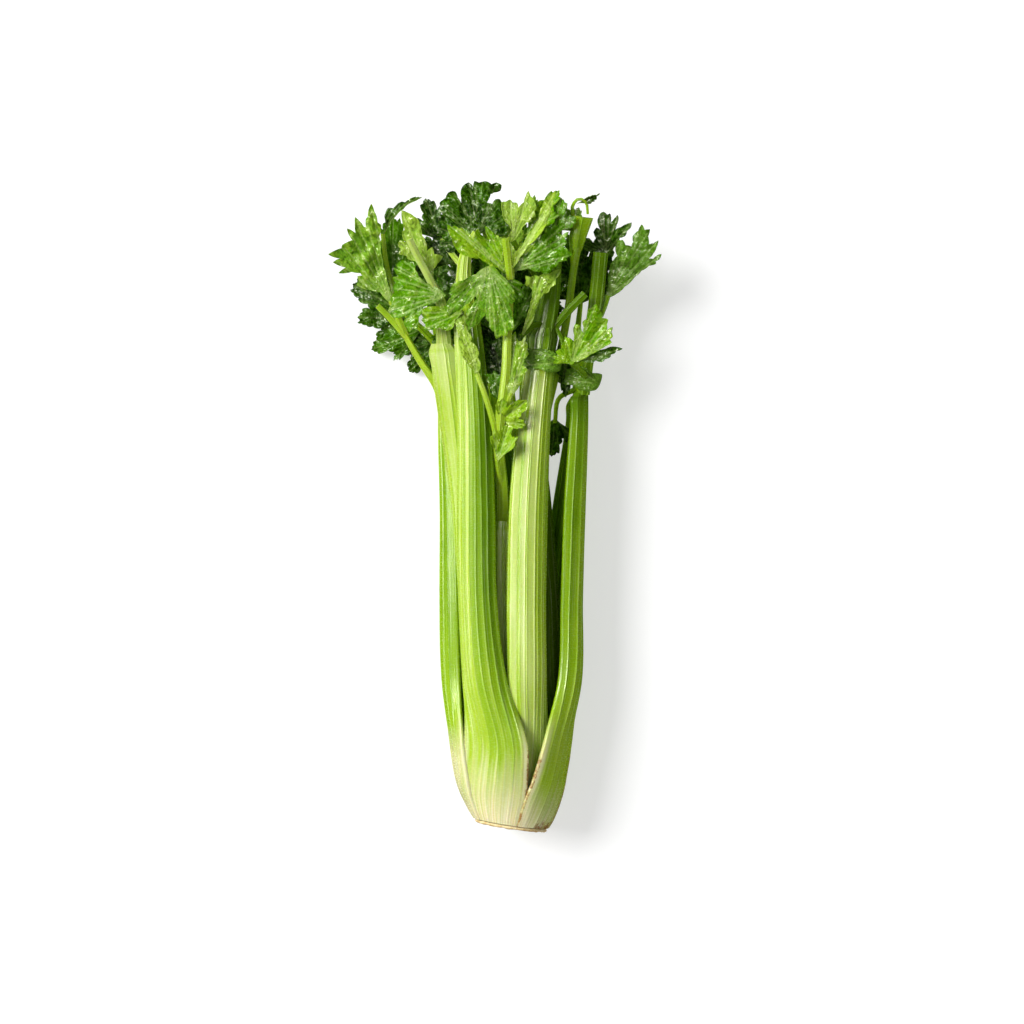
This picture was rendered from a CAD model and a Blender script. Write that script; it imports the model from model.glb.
"""A head of celery on its side: trimmed crown, ribbed stalks and leafy tops, with a stage to see it on."""

import math
from collections import namedtuple
from functools import partial

import bpy
import numpy as np
from bpy.props import FloatProperty, FloatVectorProperty, IntProperty, PointerProperty
from bpy.types import Operator, Panel, PropertyGroup
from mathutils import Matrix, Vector, geometry, noise


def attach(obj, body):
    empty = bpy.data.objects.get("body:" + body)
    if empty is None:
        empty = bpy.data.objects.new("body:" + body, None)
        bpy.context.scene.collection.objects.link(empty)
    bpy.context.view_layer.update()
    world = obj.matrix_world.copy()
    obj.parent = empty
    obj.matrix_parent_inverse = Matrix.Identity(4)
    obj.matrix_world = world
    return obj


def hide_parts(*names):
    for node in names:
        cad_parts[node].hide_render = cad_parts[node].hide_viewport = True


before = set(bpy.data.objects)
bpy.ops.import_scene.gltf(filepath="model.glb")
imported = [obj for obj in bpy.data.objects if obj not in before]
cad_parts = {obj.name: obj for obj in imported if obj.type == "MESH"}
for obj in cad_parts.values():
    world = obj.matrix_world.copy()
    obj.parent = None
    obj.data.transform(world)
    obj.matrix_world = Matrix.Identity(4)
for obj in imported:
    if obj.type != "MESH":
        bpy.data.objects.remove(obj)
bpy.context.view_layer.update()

bl_info = {
    "name": "Celery Head",
    "version": (1, 0, 0),
    "blender": (4, 5, 0),
    "location": "View3D > Sidebar > Celery",
    "description": "Builds a head of celery and the stage under it",
    "category": "Object",
}

MM = 0.001

# ---- The head's plan, in millimetres and degrees ----

AXIS_X, AXIS_Z = 9, 32  # the head's own axis, which runs along Y
FLATTEN = 0.884  # the head's height over its width at the root end
CUT_END = -187.8  # Y of the middle of the trimmed root end
FOOT = -185.2  # Y where the stalks start, on the crown
CROWN_RADIUS = 21
SLANT = 0.144  # how far the cut runs out of square, over its width
SLANT_FROM, SLANT_LENGTH = -150, 35  # where the foot starts to lean over, and the length over which it does
# Where the stalks wrap the crown: Y, the head's radius there, how far the stalks have turned round it, and
# how much wider they are than where they come free.
HEAD = [
    (-187, 21.2, 12, 1.35), (-180, 25.4, 9, 1.33), (-169, 30.2, 5, 1.3), (-158, 33, 1, 1.2),
    (-136, 36.2, -3, 1),
]
CROWN_SIDES = 96
CUT_RADII = [3, 6, 9, 12, 15, 17, 18.6, 19.8, 20.5, CROWN_RADIUS]  # rings of points over the cut face
# The crown behind its cut face: the radius and depth of each ring, and the depth of its inner end.
CORE = [(CROWN_RADIUS, 1.3), (CROWN_RADIUS - 0.3, 2.1), (12, 2.2), (11, 14), (7, 30)]
CORE_END = 36
RING_DEPTH = {"outer": 0, "middle": 8.5, "heart": 17}  # how far inside the outermost stalks each ring grows
SHEATH = 6  # thickness of a stalk where it wraps the crown
STALK_THICKNESS = 6.8  # and where it is free
STALK_EDGE = 3  # thickness of a stalk's side edges
EDGE_BULGE = 0.8  # how round a side edge is, from flat at 0 to a half circle at 1
FREE_ARC = 78  # half the angle that a free stalk's back turns through
JOINT_SWELL, JOINT_LENGTH = 0.12, 5  # how much a stalk swells at its joint, and over what length
JOINT_CLOSE = 7  # length over which it then narrows to the joint itself
FOOT_STEP = 0.6  # distance between rows of faces at the foot, over that of the rest
FINE_ROWS, FINE_STEP = 14, 0.9  # length below the joint where the rows lie closer, and their distance there
RIDGE_FADE = 12  # length below the joint over which the ridges rise
FLAT_FROM, FLAT_LENGTH = -120, 40  # where the ridges and facets flatten towards the foot
TUCK_FROM, TUCK_LENGTH = -128, 30  # where a stalk's edges tuck under their neighbours
EVEN_FROM, EVEN_LENGTH = -40, 90  # where the facets' own greens fade into one
TOP_FROM, TOP_LENGTH = 30, 24  # how far below the joint a stalk starts to take the green of its top
HIDDEN_FACETS = 9  # how many facets a stalk out of sight has

# The outline of a stalk or stem: points across its back, round each side edge and across its hollow front.
BACK_POINTS, EDGE_POINTS, FRONT_POINTS = 23, 4, 15
CURVE_SAMPLES = 12  # samples of each stretch of a stem's curve
SMOOTH_ANGLE = 50  # faces that meet at less are shaded smooth
RIDGE_WIDTH = 0.013  # half width of a ridge over the width of its stalk
RIDGE_SAMPLES = np.array([-0.026, -0.013, -0.004, 0.004, 0.013, 0.026])
EDGE_SHARE = 7  # a side edge's band takes up one part in so many of the back
FIBRE_WIDTH = 24  # the width that a stalk's fibres are laid out over, whatever its own width

MARGIN_STEP = 0.5  # distance between the points along a leaf's margin
TOOTH_WIDTH = 5
SECOND_TEETH = 2.2  # length of the shortest flank of a tooth that carries a smaller tooth
TOOTH_LEAN = 0.15  # how far a tooth's tip leans towards the tip of its lobe, over the tooth's width
LOBE_DROP = 0.42  # how much shorter a lobe is at its sides than along its axis
TIP_TURN = 0.7  # how sharply a margin turns, in radians, where a vein runs out to a tip
VEIN_RISE = 1.7  # how far from a vein the blade has risen to most of its quilting
WAVE_LENGTH, RIPPLE_LENGTH = 11, 4.5  # the waves along a leaf's margin and the ripples on them
WAVY_LEAF = 45  # length of a leaf whose waves are as high as the setting says
LEAF_REST = 0.05  # height of a leaf's lowest points above the floor
STEM_STEP = 2.5  # distance between the outlines along a stem
STEM_ARC = 84  # half the angle that a stem's back turns through
THICK_STEM = 4.5  # radius above which a stem has five ridges and not three

# A stalk: its ring, where it grows round the crown, the angle it covers there, how green it is from 0 to 1,
# how far its left and right edges tuck under their neighbours at the foot, (Y, X, Z, facing, width) of the
# middle of its back along its free length, up to the joint, and how green it is there and above.
Stalk = namedtuple("Stalk", "ring around span tone tuck free top", defaults=(0.5,))

STALKS = {
    "front_left": Stalk("outer", 110, 62, 0.4, (0, 0), [
        (-100, -9.5, 65, 108, 27), (-54, -13, 66, 107, 23.2), (0, -13.7, 67, 105, 22.8),
        (50, -14, 68, 103, 20), (95, -16.5, 68.5, 100, 17), (118, -18.5, 67, 98, 14.5)], 0.2),
    "right": Stalk("outer", 28, 60, 0.42, (2.5, 0), [
        (-100, 50, 42, 16, 24), (-54, 50.8, 40, 10, 24), (0, 52.3, 40, 8, 24),
        (32, 53.5, 40, 8, 22), (68, 54, 40, 8, 17)], 0.7),
    "left": Stalk("outer", 172, 48, 0.46, (0, 2.5), [
        (-100, -31.5, 37, 176, 22), (-54, -32.4, 38, 178, 22), (0, -32.4, 37, 178, 19),
        (33, -33.4, 35, 176, 16), (60, -34, 33, 174, 13)], 0.3),
    "under_middle": Stalk("outer", 285, 46, 0.6, (0, 0), [
        (-100, 10, 0.2, 272, 26), (-54, 9, -0.2, 270, 25), (0, 7, -0.2, 270, 23),
        (50, 4, 0.5, 268, 19), (82, 2, 3, 268, 14)]),
    "under_left": Stalk("outer", 230, 46, 0.6, (2, 2), [
        (-100, -20, 5, 228, 24), (-54, -23, 3.3, 225, 24), (0, -24, 3.3, 225, 22),
        (50, -24, 5, 225, 18), (74, -24, 8, 222, 14)]),
    "under_right": Stalk("outer", 333, 44, 0.7, (2, 2), [
        (-100, 42, 5, 322, 24), (-54, 42.5, 4, 318, 24), (0, 47, 9, 330, 21),
        (45, 51, 13, 342, 17), (66, 51, 14, 342, 13)]),
    "front_right": Stalk("middle", 72, 64, 0.2, (0, 0), [
        (-100, 19, 62.5, 84, 24), (-54, 18.9, 63.5, 84, 23.4), (0, 19.8, 64.5, 86, 22.9),
        (50, 23, 65.5, 84, 20), (104, 29, 64, 80, 16.5)], 0.85),
    "left_inner": Stalk("middle", 140, 62, 0.3, (0, 0), [
        (-100, -15, 50, 128, 21), (-54, -19, 50.5, 126, 20), (0, -21, 53, 120, 20.5),
        (33, -24.5, 56, 118, 21), (63, -28, 60, 112, 21), (95, -32, 62, 100, 16)], 0.1),
    "right_inner": Stalk("middle", -10, 62, 0.95, (0, 0), [
        (-100, 38, 34, 0, 21), (-54, 37, 38, 5, 20), (0, 32.5, 40, 12, 16), (30, 29, 40, 20, 12)]),
    "under_inner": Stalk("middle", 250, 62, 0.5, (0, 0), [
        (-100, 9, 13, 265, 20), (-54, 8, 13, 265, 19), (0, 6, 13.5, 265, 17), (44, 2, 15.5, 265, 12)]),
    "heart_front": Stalk("heart", 95, 72, 0.35, (0, 0), [
        (-100, 6.5, 50, 90, 16), (-54, 4.2, 51, 90, 15.5), (-8, 3.8, 52, 90, 12.5)], 0.3),
    "heart_left": Stalk("heart", 215, 72, 0.3, (0, 0), [
        (-100, -5, 32, 190, 14), (-54, -6.5, 33, 185, 14), (0, -7, 34, 180, 12), (34, -8, 35, 176, 10)]),
    "heart_right": Stalk("heart", -25, 72, 0.3, (0, 0), [
        (-100, 21.5, 31, -10, 14), (-54, 23, 32, -10, 14), (18, 20, 34, 0, 10)]),
}

# The facets across a stalk's back, from its left edge to its right one: where each ends over the width, and
# how much greener it is than the rest.
FACETS = {
    "front_left": [
        (0.06, 0.05), (0.17, -0.15), (0.22, 0), (0.31, -0.2), (0.36, 0.05), (0.45, -0.15), (0.57, 0.12),
        (0.68, 0.22), (0.8, 0.34), (0.93, 0.32), (1, 0.1)],
    "front_right": [
        (0.07, 0.3), (0.14, 0.05), (0.29, -0.15), (0.35, 0.2), (0.44, -0.15), (0.48, 0.1), (0.62, -0.1),
        (0.68, 0.1), (0.78, 0.2), (0.83, 0.1), (0.92, 0.3), (1, 0.2)],
    "right": [
        (0.12, 0.15), (0.3, 0.2), (0.42, 0.05), (0.52, 0.15), (0.6, -0.15), (0.7, 0.05), (0.77, -0.2),
        (0.86, 0), (0.93, -0.1), (1, 0.1)],
    "left": [
        (0.15, 0), (0.33, -0.1), (0.45, 0.05), (0.52, -0.2), (0.7, 0.05), (0.84, 0.15), (1, 0.05)],
    "left_inner": [
        (0.1, 0), (0.3, -0.1), (0.38, 0.05), (0.58, -0.1), (0.66, 0.05), (0.85, -0.05), (1, 0.05)],
}

# A leaflet fans out from its base in lobes, given from left to right as (angle from its rib, reach over its
# length). sinus is how far out the cut between two lobes starts, over the shorter one's reach, margin the
# angle from the outermost lobe's axis to the plain edge, and round how blunt the teeth are, from 0 to 1.
Pattern = namedtuple("Pattern", "lobes sinus margin round", defaults=(0.25,))

KINDS = {
    "broad": Pattern([(34, 0.78), (0, 1), (-34, 0.78)], 0.5, 14),
    "small": Pattern([(42, 0.76), (0, 1), (-42, 0.76)], 0.45, 15),
    "slim": Pattern([(24, 0.74), (0, 1), (-24, 0.74)], 0.5, 9),
    "narrow": Pattern([(13, 0.66), (0, 1), (-13, 0.66)], 0.6, 6),
    "round": Pattern([(62, 0.7), (32, 0.86), (0, 1), (-32, 0.86), (-62, 0.7)], 0.5, 16, 1),
}

# The leaflets on top have margins of their own: the tips and the cuts along each, from the right of its
# base round to the left, as (along its rib, to its left) in hundredths of its length.
EDGES = {
    "left_fan": [
        (23, -19), (37, -30), (50, -41), (65, -56), (71, -68), (77, -68), (89, -76), (98, -81),
        (91, -66), (91, -62), (85, -55), (87, -53), (103, -56), (89, -41), (102, -39), (88, -32),
        (94, -20), (92, -16), (101, 0), (86, -5), (90, 4), (73, -1), (76, 10), (64, -1), (49, -12),
        (55, -7), (51, -5), (55, -1), (50, 2), (49, 8), (31, 2), (21, -3)],
    "left_back": [
        (8, -5), (16, -8), (21, -16), (27, -26), (34, -17), (43, -18), (41, -10), (52, -13), (62, -12),
        (71, -14), (83, -15), (88, -12), (96, -6), (101, 0), (77, 6), (76, 10), (65, 12), (59, 9),
        (67, 17), (62, 22), (57, 20), (52, 25), (46, 17), (41, 17), (35, 9), (22, 4)],
    "left_spread": [
        (13, -18), (27, -28), (35, -41), (37, -53), (38, -68), (47, -68), (53, -74), (66, -69),
        (62, -58), (71, -66), (66, -49), (78, -52), (75, -41), (82, -34), (80, -27), (89, -19), (90, -9),
        (100, 0), (93, 13), (77, 16), (66, 15), (79, 24), (76, 36), (74, 43), (66, 37), (61, 42),
        (52, 23), (45, 17), (41, 9)],
    "left_bright": [
        (19, -26), (40, -29), (57, -39), (76, -44), (91, -38), (88, -25), (96, -22), (91, -8), (100, 1),
        (79, 10), (63, 11), (52, 24), (37, 26), (23, 11)],
    "top_pleated": [
        (2, -6), (9, -18), (16, -35), (19, -50), (30, -56), (36, -54), (46, -62), (52, -61), (61, -63),
        (60, -56), (55, -49), (53, -40), (49, -37), (43, -27), (37, -20), (43, -21), (52, -28),
        (59, -37), (65, -36), (72, -39), (78, -36), (87, -36), (81, -31), (78, -22), (70, -17),
        (62, -10), (70, -11), (75, -7), (85, -7), (90, -2), (101, 0), (96, 8), (96, 14), (89, 17),
        (88, 25), (71, 24), (60, 23), (51, 21), (54, 24), (51, 30), (46, 29), (39, 31), (21, 21),
        (12, 14), (1, 6)],
    "top_side": [
        (56, -49), (73, -52), (80, -37), (98, -27), (90, -16), (100, -1), (65, 7), (55, 16), (37, 2),
        (14, 9)],
    "top_lime": [
        (17, -14), (34, -25), (44, -30), (43, -27), (54, -29), (62, -29), (53, -21), (50, -15),
        (61, -17), (68, -20), (68, -15), (65, -10), (63, -5), (78, -10), (78, -8), (85, -9), (86, -6),
        (93, -5), (94, -1), (101, -1), (93, 6), (85, 10), (77, 15), (66, 17), (58, 15), (44, 7), (19, 2)],
    "top_right": [
        (11, 0), (27, -1), (35, -8), (46, -11), (49, -16), (57, -17), (63, -11), (70, -10), (77, -4),
        (89, -5), (89, -1), (100, 1), (95, 10), (90, 17), (97, 22), (95, 28), (104, 37), (93, 35),
        (84, 39), (95, 43), (104, 52), (88, 51), (79, 56), (71, 47), (54, 35), (36, 23), (16, 12)],
    "long_pale": [
        (14, -1), (31, -3), (44, -8), (57, -10), (69, -8), (73, -8), (81, -5), (85, -6), (92, -2),
        (95, -3), (101, 0), (94, 3), (89, 4), (84, 6), (78, 4), (75, 5), (63, 1), (48, 2), (32, 3),
        (22, 5), (4, 6)],
    "top_dark": [
        (4, -4), (11, -15), (6, -28), (-3, -37), (2, -50), (9, -49), (17, -53), (27, -47), (39, -49),
        (50, -42), (56, -44), (66, -41), (64, -33), (55, -27), (58, -18), (74, -25), (79, -32),
        (84, -44), (93, -46), (98, -37), (94, -28), (98, -20), (97, -7), (101, 1), (84, 4), (93, 5),
        (99, 11), (92, 21), (81, 26), (68, 26), (52, 25), (68, 32), (81, 35), (83, 41), (79, 48),
        (69, 53), (61, 64), (56, 63), (50, 68), (46, 64), (40, 55), (32, 47), (21, 34), (17, 21),
        (11, 11)],
    "right_upright": [
        (25, -22), (45, -38), (54, -45), (57, -40), (63, -43), (69, -38), (76, -37), (68, -31),
        (76, -27), (84, -26), (83, -17), (93, -10), (97, -4), (102, 0), (90, 4), (90, 8), (83, 7),
        (72, 2), (72, 6), (66, 9), (59, 4), (50, 1), (53, 5), (60, 11), (60, 18), (51, 18), (41, 12),
        (32, 8), (36, 17), (35, 25), (27, 23), (22, 25), (15, 24), (8, 30), (3, 24), (-1, 31), (-4, 26),
        (-11, 27), (-5, 13)],
    "right_under": [
        (21, -3), (33, -10), (45, -9), (56, -15), (62, -11), (73, -10), (76, -5), (83, -5), (88, 0),
        (93, -2), (100, 0), (82, 9), (68, 8), (43, 6), (11, 2)],
    "right_olive": [
        (16, -4), (31, -3), (51, -1), (64, 0), (77, -1), (87, -5), (89, -2), (95, -3), (102, 1), (98, 3),
        (88, 3), (83, 7), (93, 9), (102, 13), (110, 19), (102, 20), (96, 23), (102, 33), (110, 39),
        (104, 43), (105, 52), (95, 48), (84, 47), (80, 40), (74, 36), (69, 43), (70, 51), (65, 55),
        (60, 54), (54, 48), (50, 38), (39, 36), (27, 28), (15, 16)],
    "right_dark": [
        (23, -17), (48, -23), (56, -35), (70, -36), (82, -43), (94, -41), (75, -18), (61, -4), (77, -5),
        (93, -5), (101, 0), (85, 7), (76, 12), (87, 13), (99, 20), (94, 26), (98, 38), (91, 45),
        (72, 46), (52, 31), (55, 43), (42, 47), (29, 36), (16, 40), (24, 54), (18, 68), (11, 58),
        (4, 68), (-6, 61), (-9, 44), (-6, 22)],
    "middle_lime": [
        (13, -7), (22, -12), (40, -16), (44, -21), (47, -22), (52, -14), (61, -16), (70, -22), (75, -19),
        (82, -20), (88, -16), (97, -16), (88, -11), (86, -6), (92, -2), (101, 0), (95, 4), (91, 10),
        (87, 18), (79, 14), (68, 12), (60, 14), (49, 11), (44, 15), (36, 12), (17, 6)],
    "middle_back": [
        (10, -1), (23, -2), (35, 1), (44, 3), (53, 5), (63, 4), (68, -1), (74, 0), (81, -4), (87, 0),
        (92, -2), (101, 0), (95, 7), (89, 10), (85, 18), (79, 20), (78, 26), (73, 29), (72, 36),
        (67, 32), (61, 30), (62, 24), (60, 19), (51, 14), (39, 10), (27, 7), (15, 5)],
    "high_back": [
        (17, -6), (33, -9), (44, -13), (50, -22), (56, -18), (61, -26), (70, -21), (77, -23), (88, -16),
        (95, -5), (102, 1), (91, 3), (79, 3), (67, 10), (74, 16), (72, 24), (76, 30), (70, 37), (67, 45),
        (50, 38), (36, 29), (28, 16), (20, 9), (2, 11)],
    "low_pale": [
        (13, -10), (25, -9), (30, -13), (43, -12), (52, -7), (57, -11), (66, -8), (78, -7), (83, -11),
        (91, -12), (101, -11), (102, 0), (92, 5), (82, 6), (65, 8), (44, 13), (22, 9)],
    "low_dark": [
        (-20, -23), (-7, -41), (20, -37), (42, -33), (65, -26), (85, -13), (101, 0), (88, 7), (96, 37),
        (83, 24), (71, 33), (56, 20), (36, 26), (14, 19)],
    "band": [
        (3, -19), (25, -16), (48, -22), (76, -18), (99, -24), (101, -10), (96, 2), (104, 16), (80, 20),
        (55, 17), (30, 22), (8, 15)],
}

Stem = namedtuple("Stem", "path radius flat", defaults=(0.9,))
# A leaflet: where it starts and where its tip is, its kind, its green from dark at 0 to pale lime at 1, and
# how it is turned, folded and bent, in degrees. shape changes its kind's pattern, keel lifts the blade away
# from its main veins, droop lets its tip hang, and pale is how much of its dull underside shows on top.
Leaf = namedtuple(
    "Leaf", "at to kind tone roll fold bend shape keel droop pale", defaults=(0, 0, 0, {}, 0.12, 0.12, 0)
)

SPRAYS = {
    "left": (
        [
            Stem([(-30.6, 58.5, 33), (-33.5, 71, 36), (-44, 87, 38), (-53, 102, 40)], (4, 2.4)),
            Stem([(-52, 100, 40), (-62, 111, 41), (-69, 118, 43)], (2.2, 1.7)),
            Stem([(-53, 101, 40), (-57, 111, 42), (-61, 121, 46)], (2.4, 1.8)),
            Stem([(-57, 111, 42), (-60, 128, 36), (-64, 143, 38), (-66, 160, 42)], (1.6, 1.3)),
        ],
        [
            Leaf((-60.4, 118.5, 46), (-97.4, 147.2, 54),
                 "left_fan", 0.6, bend=-12, keel=0.05, droop=0, pale=0.2),
            Leaf((-66, 158, 41), (-43, 181, 48), "narrow", 0.15, roll=-40, fold=46, bend=70),
            Leaf((-61, 130, 36), (-60, 171, 31), "broad", 0.35, roll=6, fold=12),
        ],
    ),
    "under_left": (
        [
            Stem([(-20, 72.5, 14), (-24, 84, 15), (-34, 96, 15), (-44, 106, 16), (-53, 114, 17)], (4, 1.8)),
            Stem([(-34, 96, 15), (-36, 108, 18), (-37, 121, 22)], (2, 1.5)),
        ],
        [
            Leaf((-50, 112, 17), (-85, 133, 12), "round", 0.12, roll=8, fold=-8, shape={
                "lobes": [(30, 0.78), (0, 1), (-34, 0.8)]}),
            Leaf((-50, 111, 17), (-79, 113, 7), "round", 0.2, roll=-6, fold=-16, shape={
                "lobes": [(33, 0.9), (0, 1), (-30, 0.9)]}),
            Leaf((-43, 106, 15.5), (-74, 94, 4.5), "slim", 0.25, roll=-10, fold=-8, bend=30),
            Leaf((-36, 98, 15), (-52, 80, 5.5), "round", 0.1, roll=-4, fold=-10, bend=20),
            Leaf((-37, 118, 21), (-32, 150, 26), "round", 0.08, fold=8),
        ],
    ),
    "left_inner": (
        [
            Stem([(-29.5, 93.5, 56), (-30.5, 104, 60), (-31.5, 118, 65), (-35.5, 128, 68)], (5, 2.4)),
            Stem([(-35, 126, 69), (-39, 134, 73), (-44, 143, 76), (-49.5, 154, 80)], (2.4, 2)),
            Stem([(-31, 106, 61), (-24, 110, 68), (-19.4, 112.8, 74)], (2, 1.5)),
        ],
        [
            Leaf((-28.6, 122.4, 72), (-62.2, 113.4, 69),
                 "left_spread", 0.52, bend=14, keel=-0.12, droop=0.05),
            Leaf((-19, 112.7, 74.5), (-41.7, 102.7, 72),
                 "left_bright", 0.65, bend=10, keel=-0.1, droop=0.05),
            Leaf((-36.5, 129.4, 69), (-53.6, 170.2, 75),
                 "left_back", 0.85, bend=-14, keel=0.05, droop=0, pale=0.5),
        ],
    ),
    "front_left": (
        [
            Stem([(-17.5, 116.5, 62.5), (-18.5, 133, 63), (-17, 147, 64), (-11, 159, 67)], (6.2, 2.4), 0.6),
            Stem([(-18, 138, 63), (-26, 148, 60), (-31, 156, 56)], (2, 1.4)),
        ],
        [
            Leaf((-9.9, 156.8, 66.5), (-11.9, 189.3, 58), "top_dark", 0.12, roll=4, fold=6),
            Leaf((-13.5, 154, 65.8), (-30, 178, 60), "round", 0.1, roll=-8, fold=-8),
            Leaf((-31, 154, 56), (-41, 180, 53), "broad", 0.1, fold=12),
            Leaf((-23, 141, 58.5), (-35, 168, 52), "round", 0.12, roll=14, fold=-4),
        ],
    ),
    "heart_front": (
        [
            Stem([(4, -9.5, 47), (4, 10, 52), (2, 30, 60), (3, 52, 69),
                  (6, 75, 74), (7, 98, 76), (8, 118, 77), (8.9, 137.5, 80.5)], (4, 2.2)),
            Stem([(2, 30, 61), (-0.5, 46, 68), (-5, 62, 71), (-10.5, 77, 71.5)], (2, 1.6)),
            Stem([(8, 116, 77), (3, 129, 85), (-3, 138.5, 89)], (2, 1.8)),
            Stem([(8.5, 131, 83), (5.8, 154, 90)], (2.1, 2.2)),
            Stem([(4, 10, 52), (2, 20, 60), (1, 28, 67)], (1.6, 1.3)),
            Stem([(3.5, 56, 70), (7, 60, 73), (9, 66, 75)], (1.6, 1.4)),
            Stem([(3, 50, 68), (4, 60, 54), (6, 86, 52), (7, 118, 56), (10, 140, 58)], (2, 1.6)),
        ],
        [
            Leaf((-3.8, 138.1, 90), (0.7, 96.2, 84),
                 "top_pleated", 0.54, bend=20, keel=-0.32, droop=0.05, pale=0.12),
            Leaf((1.1, 132.3, 85), (16.2, 128.2, 82), "top_side", 0.5, keel=-0.1),
            Leaf((8.8, 132.9, 81), (-27.5, 161.5, 87), "top_lime", 0.72, bend=8, keel=0.02, droop=0),
            Leaf((9.4, 135.1, 80), (44.4, 144.8, 83), "top_right", 0.48, bend=16, keel=-0.15),
            Leaf((10, 137.2, 84), (34.3, 181.2, 88), "long_pale", 0.85, fold=14, bend=12, pale=0.35),
            Leaf((8.5, 61.9, 75), (11.5, 100.9, 77), "middle_lime", 0.72, fold=-10, keel=-0.1, pale=0.15),
            Leaf((-10.3, 76.6, 71.8), (-22.6, 111.9, 76), "low_pale", 0.85, fold=-8, pale=0.5),
            Leaf((2, 50, 68), (18, 61, 77), "small", 0.8, roll=20, fold=16),
            Leaf((2.1, 62.3, 72), (-0.4, 78.4, 75), "low_dark", 0.22, roll=10, keel=-0.2),
            Leaf((1, 26, 67), (9, 52, 71), "slim", 0.75, roll=-6, fold=24),
            Leaf((4.5, 68, 52.5), (-4, 114, 50), "broad", 0.12, fold=-6),
            Leaf((5.8, 78, 52.5), (22, 118, 50), "broad", 0.1, fold=-6),
            Leaf((6.5, 96, 54.5), (0, 146, 58), "broad", 0.2, fold=-6),
            Leaf((7.5, 122, 57.5), (-4, 168, 59), "slim", 0.1, fold=-6),
            Leaf((9.5, 138, 58), (8.5, 175, 60), "broad", 0.78, fold=-6, pale=0.4),
            Leaf((9.8, 139, 58), (36, 171, 56), "broad", 0.3, fold=-6),
        ],
    ),
    "front_right": (
        [
            Stem([(28, 102.5, 60), (31, 120, 61), (33, 142, 64), (34, 162, 66)], (7.4, 5), 0.55),
            Stem([(34, 104.5, 58), (43, 115, 59), (52, 124, 60)], (2.6, 2.4)),
            Stem([(29, 107, 61), (22, 105, 65), (15, 98.8, 70.6)], (2, 1.6)),
            Stem([(31, 122, 61), (22, 136, 63), (10, 154, 66.7)], (2, 1.6)),
            Stem([(35, 105, 59), (39.2, 95, 59.5), (38.2, 84.5, 59)], (1.3, 1)),
        ],
        [
            Leaf((15.3, 98.5, 71), (37.2, 136.2, 78), "middle_back", 0.75, fold=10, keel=0.05, pale=0.4),
            Leaf((10.2, 153.7, 67), (19.2, 181.4, 74),
                 "high_back", 0.8, roll=8, fold=10, keel=0.05, pale=0.6),
            Leaf((18, 158, 66), (36, 183, 72), "slim", 0.6, roll=-8, fold=12),
            Leaf((34, 158, 66), (38, 179, 68), "small", 0.5, fold=12),
            Leaf((37.9, 84, 58.5), (16.2, 86.5, 58.5), "band", 0.4, bend=150, keel=0, droop=0, pale=0.3),
        ],
    ),
    "right": (
        [
            Stem([(50, 66.5, 40), (52.4, 87, 42), (57.2, 117, 44), (60.3, 149, 47)], (6.4, 6.7), 0.8),
            Stem([(52, 74, 42), (51, 78, 52), (44, 83.7, 67.8)], (2.2, 1.5)),
            Stem([(61, 112, 44), (63.5, 118, 44), (65.5, 124, 44)], (2, 1.8)),
        ],
        [
            Leaf((44.2, 83.5, 67), (57.9, 116.7, 77), "right_upright", 0.66, bend=-10, keel=0.04, droop=0),
            Leaf((44.3, 84, 65.8), (73.5, 91.9, 67), "right_under", 0.25, fold=-10, keel=0, droop=0.05),
            Leaf((60.5, 72.5, 43), (36.5, 79, 41), "band", 0.4, bend=110, keel=0, droop=0, pale=0.3),
            Leaf((64.8, 122.3, 44), (96.5, 147, 50),
                 "right_olive", 0.28, bend=-10, keel=0.1, droop=0, pale=0.1),
            Leaf((64.7, 148.7, 44), (71, 170.3, 48), "right_dark", 0.1, roll=-6, fold=6),
        ],
    ),
    "right_inner": (
        [
            Stem([(26, 28.5, 41), (28, 50, 42), (35, 80, 45), (41, 110, 50), (45, 139, 57), (47.5, 151, 60)],
                 (3.6, 2.8)),
            Stem([(47.2, 149, 60), (48.5, 157, 62.5), (50.5, 168, 65)], (2.9, 6.2), 0.45),
            Stem([(45, 141, 59), (44, 155, 58), (46, 168, 60)], (1.6, 1.2)),
            Stem([(45.5, 167, 60), (44.5, 174, 63), (48, 178.5, 65), (52.5, 176.5, 64), (53.5, 170, 62)],
                 (1.1, 0.8)),
        ],
        [
            Leaf((47, 176, 63), (62, 182, 62), "narrow", 0.15, roll=20, fold=40, bend=50),
            Leaf((45, 160, 59), (36, 177, 60), "small", 0.4, fold=10, pale=0.2),
            Leaf((40.3, 106, 49.5), (41, 64, 47), "narrow", 0.12, fold=8),
        ],
    ),
    "under_right": (
        [
            Stem([(48, 64.5, 16), (47, 84, 18), (48, 104, 20), (50, 122, 22)], (4, 1.8)),
            Stem([(47, 70, 17), (37, 64, 22), (35, 50, 20)], (1.6, 1.2)),
        ],
        [
            Leaf((50, 120, 22), (66, 156, 26), "broad", 0.1, fold=6),
            Leaf((50, 121, 22), (46, 162, 30), "round", 0.1, roll=-6, fold=8),
            Leaf((35, 53, 20), (33, 30, 18), "small", 0.1, fold=-12),
        ],
    ),
    "under_middle": (
        [Stem([(2, 80.5, 9), (3, 100, 12), (5, 118, 15)], (4, 1.8))],
        [
            Leaf((5, 116, 15), (24, 152, 18), "round", 0.15, fold=6),
            Leaf((5, 116, 15), (-8, 158, 22), "round", 0.15, fold=6),
        ],
    ),
    "under_inner": (
        [Stem([(2, 42.5, 21), (6, 70, 28), (10, 96, 34), (12, 118, 38)], (3.4, 1.8))],
        [
            Leaf((12, 116, 38), (30, 152, 43), "round", 0.12, fold=8),
            Leaf((12, 116, 38), (4, 160, 43), "round", 0.12, fold=8),
        ],
    ),
    "heart_left": (
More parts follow.
